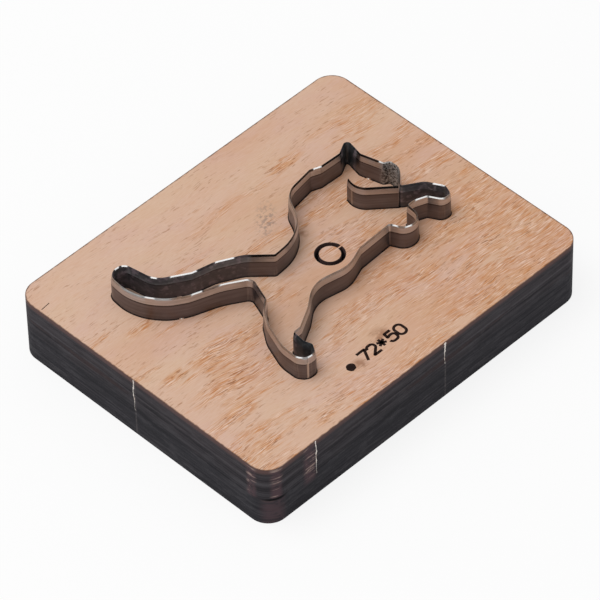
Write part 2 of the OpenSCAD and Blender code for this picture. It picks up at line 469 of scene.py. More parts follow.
class Finish(Nodes):
    """Lays out one procedural material."""

    def __init__(self, name):
        self.material = bpy.data.materials.new(name)
        self.material.use_nodes = True
        super().__init__(self.material.node_tree)
        self.skin = self.node("ShaderNodeBsdfPrincipled")
        self.join(self.skin.outputs[0], self.node("ShaderNodeOutputMaterial").inputs["Surface"])

    def paint(self, **values):
        """Sets inputs of the surface by name, to a value or to what another node gives."""
        for name, value in values.items():
            self.join(value, self.skin.inputs[name.replace("_", " ")])

    def place(self):
        """Place on the object, in millimetres."""
        coordinates = self.node("ShaderNodeTexCoord")
        return self.vector("SCALE", coordinates.outputs["Object"], scale=1 / MM)

    def vector(self, operation, a, b=None, scale=None):
        made = self.node("ShaderNodeVectorMath", operation=operation)
        self.join(a, made.inputs[0])
        if b is not None:
            self.join(b, made.inputs[1])
        if scale is not None:
            made.inputs["Scale"].default_value = scale
        return made.outputs["Value"] if operation in {"LENGTH", "DISTANCE"} else made.outputs[0]

    def split(self, vector):
        made = self.node("ShaderNodeSeparateXYZ")
        self.join(vector, made.inputs[0])
        return made.outputs

    def pack(self, x, y, z):
        made = self.node("ShaderNodeCombineXYZ")
        for value, socket in zip((x, y, z), made.inputs):
            self.join(value, socket)
        return made.outputs[0]

    def noise(self, vector, stretch=(1, 1, 1), detail=2.0, rough=0.5, shift=0.0):
        """Noise of a size set by the stretch, in turns per millimetre."""
        scaled = self.vector("MULTIPLY", vector, stretch)
        if shift:
            scaled = self.vector("ADD", scaled, (shift, shift * 0.7, shift * 1.3))
        made = self.node("ShaderNodeTexNoise")
        self.join(scaled, made.inputs["Vector"])
        made.inputs["Scale"].default_value = 1.0
        made.inputs["Detail"].default_value = detail
        made.inputs["Roughness"].default_value = rough
        return made.outputs[0]

    def fade(self, value, low, high):
        """Goes smoothly from 0 at low to 1 at high, whichever is larger."""
        made = self.node("ShaderNodeMapRange", interpolation_type="SMOOTHSTEP")
        self.join(value, made.inputs["Value"])
        turned = high < low
        made.inputs["From Min"].default_value = min(low, high)
        made.inputs["From Max"].default_value = max(low, high)
        made.inputs["To Min"].default_value = 1.0 if turned else 0.0
        made.inputs["To Max"].default_value = 0.0 if turned else 1.0
        return made.outputs[0]

    def near(self, vector, x, y, reach):
        """1 close to a spot, and 0 past its reach."""
        return self.fade(self.vector("DISTANCE", vector, (x, y, 0.0)), reach, 0.25 * reach)

    def mix(self, factor, a, b):
        made = self.node("ShaderNodeMix", data_type="RGBA", clamp_factor=True)
        self.join(factor, made.inputs["Factor"])
        for value, socket in ((a, made.inputs[6]), (b, made.inputs[7])):
            self.join((*value, 1) if isinstance(value, (tuple, list)) else value, socket)
        return made.outputs[2]

    def coat(self, base, mask, strength, colour):
        """Lays a colour over another where a mask lets it, at some strength."""
        return self.mix(self.times(mask, strength), base, colour)

    def blend(self, factor, a, b):
        """Mixes two numbers."""
        made = self.node("ShaderNodeMix", data_type="FLOAT", clamp_factor=True)
        self.join(factor, made.inputs[0])
        self.join(a, made.inputs[2])
        self.join(b, made.inputs[3])
        return made.outputs[0]

    def attribute(self, name):
        return self.node("ShaderNodeAttribute", attribute_name=name)

    def bump(self, height, depth):
        """Relief of a given depth in millimetres."""
        made = self.node("ShaderNodeBump")
        made.inputs["Strength"].default_value = 1.0
        made.inputs["Distance"].default_value = depth * MM
        self.join(height, made.inputs["Height"])
        self.paint(Normal=made.outputs[0])


def veneer_colour(f, look, x, y):
    """Sanded veneer with flecked grain along X; also gives its fine grain and its pores."""
    flat = f.pack(x, y, 0.0)
    sway = f.noise(flat, (0.04, 0.03, 1), detail=1, shift=40.0)
    wander = f.noise(flat, (0.3, 0.3, 1), detail=1, shift=63.0)
    across = f.math("MULTIPLY_ADD", x, 0.05, f.math("MULTIPLY_ADD", sway, 3.0, y))
    grain = f.pack(x, f.math("MULTIPLY_ADD", wander, 0.5, across), 0.0)
    tilt = f.math("MULTIPLY_ADD", x, 0.0022, f.times(y, -0.002))
    warm = f.math("ADD", f.noise(grain, (0.02, 0.07, 1), detail=3), tilt)
    veneer = f.mix(f.fade(warm, 0.3, 0.72), tuple(look.veneer_pale), tuple(look.veneer_warm))
    tint = f.noise(grain, (0.06, 0.12, 1), detail=2, shift=55.0)
    veneer = f.coat(veneer, f.fade(tint, 0.5, 0.68), 0.25, (0.66, 0.465, 0.3))
    veneer = f.coat(veneer, f.fade(tint, 0.48, 0.32), 0.35, (0.64, 0.42, 0.36))
    fine = f.noise(grain, (0.6, 4.2, 1), detail=3, rough=0.6, shift=3.1)
    veneer = f.coat(veneer, f.fade(fine, 0.42, 0.7), 0.4, tuple(look.veneer_warm))

    # Flecks crowd toward the front and the right and in clusters, but not at the back or round the mark
    crowd = f.noise(grain, (0.04, 0.27, 1), detail=3, shift=7.7)
    crowd = f.math("MULTIPLY_ADD", x, 0.0014, f.math("MULTIPLY_ADD", y, -0.0031, crowd))
    crowd = f.times(f.fade(crowd, 0.47, 0.6), f.fade(y, 37.0, 18.0))
    squat = f.vector("MULTIPLY", flat, (GRAIN_SQUEEZE, 1, 1))
    calm_x, calm_y, calm_reach = CALM_SPOT
    calm = f.near(squat, GRAIN_SQUEEZE * calm_x, calm_y, calm_reach)
    crowd = f.times(crowd, f.blend(calm, 1.0, 0.22))
    cluster = 0.0
    for spot_x, spot_y, reach in FLECK_SPOTS:
        cluster = f.most(cluster, f.near(squat, GRAIN_SQUEEZE * spot_x, spot_y, 1.6 * reach))
    crowd = f.most(crowd, cluster)

    # Brown clouds, then pale, orange and dark streaks, then pores
    cloud = f.fade(f.noise(grain, (0.13, 0.6, 1), detail=3, shift=27.0), 0.44, 0.66)
    cloud = f.times(cloud, f.blend(cluster, f.times(crowd, 0.5), 0.9))
    veneer = f.coat(veneer, cloud, 0.65, (0.6, 0.3, 0.135))
    pale = f.fade(f.noise(grain, (0.3, 3.5, 1), detail=1, shift=33.0), 0.52, 0.68)
    veneer = f.coat(veneer, pale, f.blend(crowd, 0.15, 0.75), (0.81, 0.59, 0.47))
    fleck = f.fade(f.noise(grain, (0.24, 4.3, 1), detail=2, rough=0.55, shift=12.3), 0.52, 0.64)
    veneer = f.coat(veneer, fleck, f.blend(crowd, 0.14, 1.0), tuple(look.fleck))
    combed = f.fade(f.noise(grain, (0.3, 4.4, 1), detail=1, shift=71.0), 0.53, 0.63)
    combed = f.times(combed, f.most(cluster, f.times(crowd, 0.6)))
    veneer = f.coat(veneer, combed, 0.8, (0.47, 0.185, 0.07))
    pores = f.fade(f.noise(grain, (0.45, 3.6, 1), detail=1, shift=21.9), 0.61, 0.7)
    clump = f.fade(f.noise(flat, (0.11, 0.2, 1), detail=2, shift=80.0), 0.4, 0.62)
    dense = f.most(f.times(crowd, 0.35), cluster)
    pores = f.times(pores, f.blend(dense, f.times(clump, 0.5), 0.9))
    veneer = f.mix(pores, veneer, (0.31, 0.125, 0.048))
    return veneer, fine, pores


def stained_and_shaded_veneer(f, look, x, y, veneer):
    """Veneer with smoke, a grey smudge behind the neck, painted shade in the tail tip and a scorched edge.
    """
    flat = f.pack(x, y, 0.0)
    smoke = 0.0
    for spot in SMOKE_SPOTS:
        smoke = f.most(smoke, f.near(flat, *spot))
    smoke = f.times(smoke, f.fade(f.noise(flat, (0.5, 0.6, 1), detail=3, shift=31.0), 0.3, 0.6))
    veneer = f.coat(veneer, smoke, 0.75, (0.3, 0.14, 0.075))
    slant = f.math("MULTIPLY_ADD", f.math("SUBTRACT", x, y), 2.4, 22.0)
    smudge = f.near(f.pack(f.math("ADD", x, y), slant, 0.0), *NECK_SMUDGE)
    smudge = f.times(smudge, f.fade(f.noise(flat, (1.1, 1.1, 1), detail=4, shift=5.5), 0.44, 0.64))
    veneer = f.coat(veneer, smudge, 0.6, (0.24, 0.18, 0.16))
    # Painted shade: the veneer deep in the tail's tip is darkened to a scorched brown
    by_x, by_y, start = TAIL_ACROSS
    across_tail = f.math("MULTIPLY_ADD", x, by_x, f.math("MULTIPLY_ADD", y, by_y, start))
    tail_tip_shade = f.fade(f.math("ABSOLUTE", across_tail), 2.6, 2.1)
    tail_tip_shade = f.times(tail_tip_shade, f.times(f.fade(y, 12.0, 16.0), f.fade(y, 24.2, 23.6)))
    veneer = f.coat(veneer, tail_tip_shade, 0.65, (0.085, 0.055, 0.045))
    radius = look.corner_radius / MM
    past = []
    for place, half in ((x, HALF_LENGTH), (y, HALF_DEPTH)):
        past.append(f.most(f.math("SUBTRACT", f.math("ABSOLUTE", place), half - radius), 0.0))
    inset = f.math("SUBTRACT", radius, f.vector("LENGTH", f.pack(*past, 0.0)))
    ragged = f.math("MULTIPLY_ADD", f.noise(flat, (0.8, 0.8, 1), detail=3, shift=9.9), 0.5, -0.25)
    scorch = f.fade(f.math("ADD", inset, ragged), look.scorch_width / MM, 0.02)
    return f.coat(veneer, scorch, 0.85, (0.075, 0.032, 0.022))


def side_colour(f, look, x, y, z):
    """Laser-charred plies in long streaks; also gives the streaks and the relief of the sides."""
    flat = f.pack(x, y, 0.0)
    black = (0.011, 0.01, 0.013)
    round_board = f.pack(f.math("ADD", x, y), z, 0.0)
    plies = f.noise(round_board, (0.006, 0.75, 1), detail=3, rough=0.6)
    streak = f.noise(round_board, (0.025, 1.5, 1), detail=3, rough=0.55, shift=8.0)
    hair = f.noise(round_board, (0.09, 4.5, 1), detail=2, shift=4.4)
    height = f.math("DIVIDE", z, BOARD_TOP)
    upper = f.fade(height, 0.4, 0.75)
    side = f.mix(upper, tuple(look.char), (0.047, 0.041, 0.046))
    side = f.coat(side, f.fade(plies, 0.5, 0.66), f.blend(upper, 0.35, 0.62), (0.085, 0.078, 0.086))
    side = f.coat(side, f.fade(streak, 0.52, 0.7), f.blend(upper, 0.3, 0.52), (0.08, 0.073, 0.08))
    side = f.coat(side, f.fade(plies, 0.47, 0.34), 0.6, black)
    side = f.coat(side, f.fade(streak, 0.46, 0.33), 0.5, black)
    mottle = f.noise(round_board, (0.14, 0.55, 1), detail=4, rough=0.7, shift=44.0)
    side = f.coat(side, f.fade(mottle, 0.5, 0.66), 0.5, (0.07, 0.066, 0.073))
    side = f.coat(side, f.fade(mottle, 0.48, 0.34), 0.5, (0.016, 0.015, 0.018))
    side = f.coat(side, f.fade(hair, 0.54, 0.72), 0.35, (0.1, 0.092, 0.1))
    rust = f.fade(f.noise(round_board, (0.05, 0.6, 1), detail=2, shift=61.0), 0.58, 0.72)
    side = f.coat(side, f.times(rust, upper), 0.5, (0.075, 0.045, 0.043))

    # Browner char at the rim, and pale seams below two of the tabs
    side = f.coat(side, f.fade(height, 0.9, 0.97), 0.85, (0.125, 0.074, 0.069))
    seam = f.most(*(f.near(flat, *spot) for spot in PALE_SEAMS))
    side = f.coat(side, f.times(seam, f.fade(hair, 0.36, 0.5)), 0.38, (0.16, 0.14, 0.14))

    # Thin char with bare dashes on the near corner and by one tab, and an open ply low on that corner
    low = f.fade(z, 8.2, 7.2)
    corner = f.near(flat, -HALF_LENGTH, look.corner_radius / MM - HALF_DEPTH, CORNER_REACH)
    corner = f.most(corner, f.near(flat, *CORNER_END))
    corner = f.times(corner, f.math("SUBTRACT", 1.0, low))
    corner = f.most(corner, f.times(f.near(flat, *CORNER_LOW), f.times(low, 0.8)))
    thin = f.most(corner, f.times(f.near(flat, *BARE_TAB), f.fade(z, 4.5, 7.0)))
    worn = f.noise(round_board, (0.6, 0.9, 1), detail=4, rough=0.65, shift=15.0)
    thin = f.times(thin, f.fade(worn, 0.28, 0.56))
    side = f.mix(thin, side, tuple(look.brown_char))
    dash = f.fade(f.noise(round_board, (0.35, 1.7, 1), detail=1, shift=18.0), 0.57, 0.66)
    dash = f.times(f.times(dash, thin), f.fade(z, 6.0, 9.0))
    side = f.coat(side, dash, 0.85, (0.34, 0.25, 0.22))
    open_ply = f.fade(f.math("ABSOLUTE", f.math("SUBTRACT", z, OPEN_PLY_HEIGHT)), 0.5, 0.2)
    side = f.coat(side, open_ply, f.near(flat, *OPEN_PLY), (0.004, 0.004, 0.005))

    cut = f.noise(round_board, (2.6, 0.12, 1), detail=2, shift=2.2)
    relief = f.math("ADD", f.math("ADD", plies, streak), f.times(f.math("ADD", hair, cut), 0.35))
    return side, streak, relief


def board_finish(look):
    """Sanded veneer on the two faces, laser-charred plies on the sides and in the kerfs."""
    f = Finish("plywood_board")
    x, y, z = f.split(f.place())
    facing = f.split(f.node("ShaderNodeTexCoord").outputs["Normal"])[2]
    on_face = f.math("GREATER_THAN", f.math("ABSOLUTE", facing), 0.5)
    veneer, fine, pores = veneer_colour(f, look, x, y)
    veneer = stained_and_shaded_veneer(f, look, x, y, veneer)
    side, streak, side_relief = side_colour(f, look, x, y, z)
    rough = f.blend(on_face, f.blend(streak, 0.55, 0.8), f.blend(fine, 0.5, 0.68))
    f.paint(Base_Color=f.mix(on_face, side, veneer), Roughness=rough, Specular_IOR_Level=0.06)
    face_relief = f.math("SUBTRACT", f.times(fine, 0.3), f.times(pores, 0.6))
    f.bump(f.blend(on_face, side_relief, face_relief), 0.08)
    return f.material


def char_finish(name, colour):
    """Matt burnt wood, a little uneven."""
    f = Finish(name)
    crumbs = f.noise(f.place(), (2.2, 2.2, 2.2), detail=4, rough=0.65)
    brown = tuple(3.2 * c + 0.012 for c in colour)
    tone = f.mix(f.fade(crumbs, 0.5, 0.8), colour, brown)
    f.paint(Base_Color=tone, Roughness=0.85, Specular_IOR_Level=0.06)
    f.bump(crumbs, 0.05)
    return f.material


def raw_wood_finish():
    """Pale torn fibres of fresh wood."""
    f = Finish("torn_fibres")
    fibres = f.noise(f.place(), (2.0, 2.0, 0.45), detail=3)
    tone = f.mix(f.fade(fibres, 0.3, 0.5), (0.42, 0.27, 0.21), (0.95, 0.87, 0.8))
    f.paint(Base_Color=tone, Roughness=0.7)
    f.bump(fibres, 0.04)
    return f.material


def steel_finish(name, colour, gloss, streaks, relief, shoulder=None, painted_highlight=None):
    """Steel with faint streaks along the strip, and what it carries: sooting with painted shade, pits,
    upright lines of cut ends and of painted highlight, and painted highlights on creases and glints.
    """
    f = Finish(name)
    strip = f.attribute("strip_place").outputs["Vector"]
    soot_and_shade, pitted, bare_and_highlight = f.split(f.attribute("wear_and_painted_light").outputs["Vector"])
    grain = f.noise(strip, streaks, detail=3, rough=0.6)
    cloud = f.noise(strip, (0.13, 1, 0.3), detail=3, shift=6.0)
    dark, light = tuple(0.82 * c for c in colour), tuple(min(1.0, 1.15 * c) for c in colour)
    tone = f.mix(f.fade(grain, 0.3, 0.7), dark, light)
    tone = f.coat(tone, f.fade(cloud, 0.45, 0.75), 0.5, tuple(0.7 * c for c in colour))
    if shoulder is not None:
        line = f.fade(f.split(strip)[2], shoulder - 0.5, shoulder - 0.1)
        tone = f.coat(tone, line, 0.7, (0.025, 0.02, 0.02))
    # Painted highlights: along the glints the honed edge turns white, sheds the soot and painted shade, and
    # is a little less metallic
    if painted_highlight is not None:
        glint = f.attribute("glint").outputs["Fac"]
        uneven = f.math("SUBTRACT", grain, 0.5)
        tone = f.mix(f.math("MULTIPLY_ADD", uneven, 0.6, glint), tone, painted_highlight)
        highlight_mask = f.fade(f.math("MULTIPLY_ADD", uneven, 1.3, glint), 0.6, 1.0)
        soot_and_shade = f.times(soot_and_shade, f.math("SUBTRACT", 1.0, highlight_mask))
    # Painted highlights: light streaks on the creases of tight bends, standing in for their reflections
    bends = f.attribute("bent").outputs["Fac"]
    crease_highlights = f.fade(f.noise(strip, (3.4, 1, 0.12), detail=2, shift=11.0), 0.52, 0.68)
    tone = f.coat(tone, f.times(bends, crease_highlights), 0.14, (0.5, 0.46, 0.43))
    pits = f.noise(strip, (2.3, 1, 2.3), detail=2, rough=0.6, shift=9.0)
    tone = f.coat(tone, pitted, 0.85, (0.25, 0.23, 0.215))
    tone = f.coat(tone, pitted, f.fade(pits, 0.53, 0.62), (0.46, 0.44, 0.42))
    tone = f.coat(tone, pitted, f.fade(pits, 0.48, 0.41), (0.02, 0.019, 0.018))

    # Soot with painted shade is brown-black and blotchy where it is thin, and a blue-black crust where it
    # is thick, as painted in the dark ear and toe pockets
    patchy = f.noise(strip, (0.45, 1, 0.5), detail=3, shift=2.0)
    soot_shade_mask = f.times(f.fade(f.math("MULTIPLY_ADD", patchy, 0.5, soot_and_shade), 0.35, 1.05), 0.95)
    ash = f.mix(f.fade(patchy, 0.48, 0.66), (0.037, 0.033, 0.036), (0.105, 0.083, 0.092))
    blotch = f.fade(f.noise(strip, (0.7, 1, 0.8), detail=2, shift=52.0), 0.53, 0.68)
    ash = f.coat(ash, blotch, f.fade(soot_and_shade, 0.95, 0.75), (0.19, 0.145, 0.165))
    crust = f.fade(f.noise(strip, (0.9, 1, 0.9), detail=3, shift=52.0), 0.44, 0.66)
    crust = f.mix(crust, (0.017, 0.02, 0.022), (0.055, 0.062, 0.068))
    ash = f.mix(f.fade(soot_and_shade, 0.78, 1.0), ash, crust)
    tone = f.mix(soot_shade_mask, tone, ash)
    # Bare steel at the joint, and a painted highlight on the slit's hook
    tone = f.mix(bare_and_highlight, tone, (0.8, 0.75, 0.71))
    dull = f.most(f.times(soot_shade_mask, 0.8), f.times(pitted, 0.65))
    matt = dull if painted_highlight is None else f.most(dull, f.times(highlight_mask, 0.3))
    rough = f.blend(dull, f.blend(grain, gloss - 0.05, gloss + 0.08), 0.5)
    f.paint(Base_Color=tone, Metallic=f.math("SUBTRACT", 1.0, matt), Roughness=rough)
    f.bump(f.math("ADD", f.times(grain, 0.4), f.times(f.times(pits, pitted), 5.0)), relief)
    return f.material


class DIE_OT_dress_board(bpy.types.Operator):
    """Gives the board its veneer and char, with charred lips along the kerfs"""

    bl_idname = "die.dress_board"
    bl_label = "Dress Board"

    def execute(self, context):
        look = context.scene.die_board
        rule = context.scene.die_rule
        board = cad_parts["die_board"]
        finish = board_finish(look)
        for slot in board.material_slots:
            slot.material = finish
        bm = bmesh.new()
        kerf = (rule.thickness / 2 + rule.kerf_clearance) / MM
        lip = look.lip_width / MM
        bridge = rule.bridge_length / MM
        for path in (BentPath(OUTLINE), BentPath(JAW_SLIT)):
            ends = [0.0]
            for middle in path.bridges:
                ends += [middle - bridge / 2, middle + bridge / 2]
            ends.append(path.length)
            for low, high in zip(ends[::2], ends[1::2]):
                stations = path.stations(low, high)
                for side in (-1, 1):
                    add_band(bm, path, stations, side * kerf, side * (kerf + lip))
        self.char_ring(bm, look, lip)
        mesh = finished_mesh(bm, "kerf_lips")
        black_char = char_finish("kerf_char", (0.012, 0.009, 0.008))
        new_piece("kerf_lips", mesh, [black_char])
        return {"FINISHED"}

    def char_ring(self, bm, look, lip):
        """Adds the charred lips of the ring kerf, which is open but for one tab at its +X end."""
        x, y = (place / MM for place in look.ring_place)
        half = look.ring_kerf / MM / 2
        r = look.ring_diameter / MM / 2 - half
        ring = BentPath((
            (x + r, y, 0), (x + r, y + r, r), (x - r, y + r, r), (x - r, y - r, r), (x + r, y - r, r),
            (x + r, y, 0)))
        tab = look.ring_tab / MM / 2
        low, high = tab - lip / 2, ring.length - tab + lip / 2
        for side in (-1, 1):
            add_band(bm, ring, ring.stations(low, high), side * half, side * (half + lip))
        for start in (low, high - lip / 2):
            add_band(bm, ring, ring.stations(start, start + lip / 2), half, -half)


def closeness(x, y, spot_x, spot_y, reach):
    """1 at a spot, falling to 0 at its reach."""
    return max(0.0, 1 - math.hypot(x - spot_x, y - spot_y) / reach)


def soot_and_shade_at(x, y):
    """How sooted and darkened by painted shade the inside of the rule is at a place."""
    return max(depth * min(1.0, 2 * closeness(x, y, sx, sy, reach)) for sx, sy, reach, depth in SOOT_AND_SHADE_SPOTS)


def bare_and_highlight_at(x, y):
    """How bright the upright lines of cut ends and of painted highlight are at a place."""
    return max(shine * min(1.0, 3 * closeness(x, y, bx, by, half)) for bx, by, half, shine in BARE_AND_HIGHLIGHT_LINES)


def painted_glint_at(x, y):
    """1 on the stretches of the edge with painted highlights, and 0 a little way off them."""
    best = 0.0
    for ax, ay, bx, by in PAINTED_GLINTS:
        start, way = Vector((ax, ay)), Vector((bx - ax, by - ay))
        share = max(0.0, min(1.0, (Vector((x, y)) - start).dot(way) / way.length_squared))
        gap = (start + share * way - Vector((x, y))).length
        best = max(best, min(1.0, max(0.0, 1.4 - 1.8 * gap)))
    return best


def rule_mesh(name, path, rule, low, high, shine):
    """Bends a strip of bevelled rule along a path, with notches in its foot at the bridges."""
    half = rule.thickness / MM / 2
    half_hone = rule.hone_thickness / MM / 2
    shoulder = RULE_TOP - rule.bevel_depth / MM
    hone = RULE_TOP - rule.hone_depth / MM
    notch_top = BOARD_TOP + rule.notch_clearance / MM
    notch = (rule.bridge_length / 2 + rule.notch_clearance) / MM
    notches = [(middle - notch, middle + notch) for middle in path.bridges]
    notch_ends = [end for pair in notches for end in pair]
    by_ends = [end for k in range(1, END_STEPS + 1) for end in (low + END_STEP * k, high - END_STEP * k)]
    stations = path.stations(low, high, also=notch_ends + by_ends, step=0.2)
    heights = (0.0, notch_top, SIDE_ROW, shoulder, (shoulder + hone) / 2, hone, RULE_TOP)
    shoulder_row, hone_row, top = 3, 5, 6
    sharp_rows = {0, shoulder_row, hone_row, top}
    bm = bmesh.new()
    strip_layer = bm.verts.layers.float_vector.new("strip_place")
    wear_and_painted_light_layer = bm.verts.layers.float_vector.new("wear_and_painted_light")
    glint_layer = bm.verts.layers.float.new("glint")
    bent_layer = bm.verts.layers.float.new("bent")
    row_layer = bm.verts.layers.int.new("row")

    def ring(distance):
        """One row of points up each side of the strip, left and then right."""
        made = []
        middle, _, curve = path.at(distance)
        soot_and_shade, bare_and_highlight, glint = soot_and_shade_at(*middle), bare_and_highlight_at(*middle), painted_glint_at(*middle)
        pitted = min(1.0, 2.5 * closeness(*middle, *PITTED_SPOT))
        for side in (1, -1):
            inside = side < 0
            wave = noise.noise(Vector((0.23 * distance, 7.0 * side, 1.5)))
            tall = []
            for row, height in enumerate(heights):
                on_bevel = row > shoulder_row
                offset = half
                if row == top:
                    offset = rule.edge_width / MM / 2
                elif row == hone_row:
                    offset = half_hone + HONE_SWELL * wave + WORN_SWELL * glint
                    height += HONE_WAVE * wave * (1 - glint) + WORN_RISE * glint
                elif on_bevel:
                    offset = (half + half_hone) / 2
                point = beside(path, distance, side * offset)
                vert = add_point(bm, point.x, point.y, height)
                vert[strip_layer] = (distance, SIDES_APART * side, height)
                # Soot with painted shade goes on the inside, stronger on the bevel, and a little on the
                # outside
                dirt_and_shade = soot_and_shade * (1.25 if on_bevel else 1.0) if inside else 0.15 * soot_and_shade
                vert[wear_and_painted_light_layer] = (dirt_and_shade, pitted if inside else 0.0, 0.0 if on_bevel else bare_and_highlight)
                # Painted sheen: outside, the honed edge is at least as bright as shine, a painted silver
                vert[glint_layer] = glint if inside else max(0.85 * glint, shine)
                vert[bent_layer] = 1.0 if abs(curve) > CREASE_HIGHLIGHT_BEND else 0.0
                vert[row_layer] = row
                tall.append(vert)
            made.append(tall)
        return made

    def face(verts, kind):
        made = bm.faces.new(verts)
        made.material_index = kind
        made.smooth = True
        return made

    def kind_of(row):
        return 0 if row < shoulder_row else 1 if row < hone_row else 2

    rings = [ring(distance) for distance in stations]
    flat_faces = []
    for k in range(len(stations) - 1):
        middle = (stations[k] + stations[k + 1]) / 2
        in_notch = any(a < middle < b for a, b in notches)
        (left, right), (next_left, next_right) = rings[k], rings[k + 1]
        foot = 1 if in_notch else 0
        for row in range(foot, top):
            face((left[row], left[row + 1], next_left[row + 1], next_left[row]), kind_of(row))
            face((right[row], next_right[row], next_right[row + 1], right[row + 1]), kind_of(row))
        face((left[top], right[top], next_right[top], next_left[top]), 2)
        flat_faces.append(face((left[foot], next_left[foot], next_right[foot], right[foot]), 0))
    for distance, (left, right) in zip(stations, rings):
        if any(abs(distance - end) < 1e-5 for end in notch_ends):
            flat_faces.append(face((left[0], left[1], right[1], right[0]), 0))
    for left, right in (rings[0], rings[-1]):
        flat_faces.append(face(left + right[::-1], 0))
    for flat in flat_faces:
        for edge in flat.edges:
            edge.smooth = False
    for edge in bm.edges:
        rows = {vert[row_layer] for vert in edge.verts}
        if len(rows) == 1 and rows <= sharp_rows:
            edge.smooth = False
    bmesh.ops.delete(bm, geom=[v for v in bm.verts if not v.link_faces], context="VERTS")
    return finished_mesh(bm, name)


class DIE_OT_bend_rules(bpy.types.Operator):
    """Bends the outline rule and the slit rule, bevelled, honed, a little sooted, with painted shade in its
    narrow pockets and painted highlights on its edge
    """

    bl_idname = "die.bend_rules"
    bl_label = "Bend Rules"

    def execute(self, context):
        rule = context.scene.die_rule
        shoulder = RULE_TOP - rule.bevel_depth / MM
        side, bevel, edge, bright = (
            tuple(shade) for shade in (rule.tempered, rule.ground, rule.honed, rule.painted_highlight))
        steels = [
            steel_finish("tempered_side", side, 0.34, (0.05, 1, 1.6), 0.02, shoulder=shoulder),
            steel_finish("ground_bevel", bevel, 0.3, (0.08, 1, 5.0), 0.02),
            steel_finish("honed_edge", edge, 0.2, (0.5, 1, 4.0), 0.01, painted_highlight=bright),
        ]
        gap = rule.butt_gap / MM
        outline = BentPath(OUTLINE)
        # The outline's outer honed edge gets a painted silver sheen; the slit's gets none
        mesh = rule_mesh("bent_outline", outline, rule, gap / 2, outline.length - gap / 2, 0.3)
        new_piece("bent_outline", mesh, steels, ["outline_rule"])
        slit = BentPath(JAW_SLIT)
        mesh = rule_mesh("bent_slit", slit, rule, rule.thickness / MM / 2 + gap, slit.length, 0.0)
        new_piece("bent_slit", mesh, steels, ["slit_rule"])
        return {"FINISHED"}


class DIE_OT_burn_marks(bpy.types.Operator):
    """Burns the size numerals and a plain dot into the board's top, with the small crack at its corner"""

    bl_idname = "die.burn_marks"
    bl_label = "Burn Marks"

    # Dot before the numerals: x, y and radius
    DOT = (-14.25, -29.8, 1.15)
    # Crack at the corner: its path, half width and height
    CRACK = ((-49.3, 31.85, 0), (-48.1, 32.0, 0.3), (-46.7, 32.15, 0))
    CRACK_HALF, CRACK_HEIGHT = 0.09, 0.015

    def execute(self, context):
        mark = context.scene.die_mark
        size = mark.height / MM
        half = mark.stroke / MM / 2
        pen, foot = (place / MM for place in mark.place)
        bm = bmesh.new()
        for sign in mark.numerals:
            if sign not in NUMERALS:
                raise ValueError(f"there are no strokes for the sign {sign}")
            for stroke in NUMERALS[sign]:
                path = BentPath([(pen + x * size, foot + y * size, r * size) for x, y, r in stroke])
                add_band(bm, path, path.stations(step=0.4, turn_step=math.radians(15)), half, -half)
            pen += mark.pitch / MM
        add_dot(bm, *self.DOT)
        crack = BentPath(self.CRACK)
        add_band(bm, crack, crack.stations(), self.CRACK_HALF, -self.CRACK_HALF, self.CRACK_HEIGHT)
        mesh = finished_mesh(bm, "burnt_marks")
        new_piece("burnt_marks", mesh, [char_finish("burnt_strokes", tuple(mark.burn))])
        return {"FINISHED"}


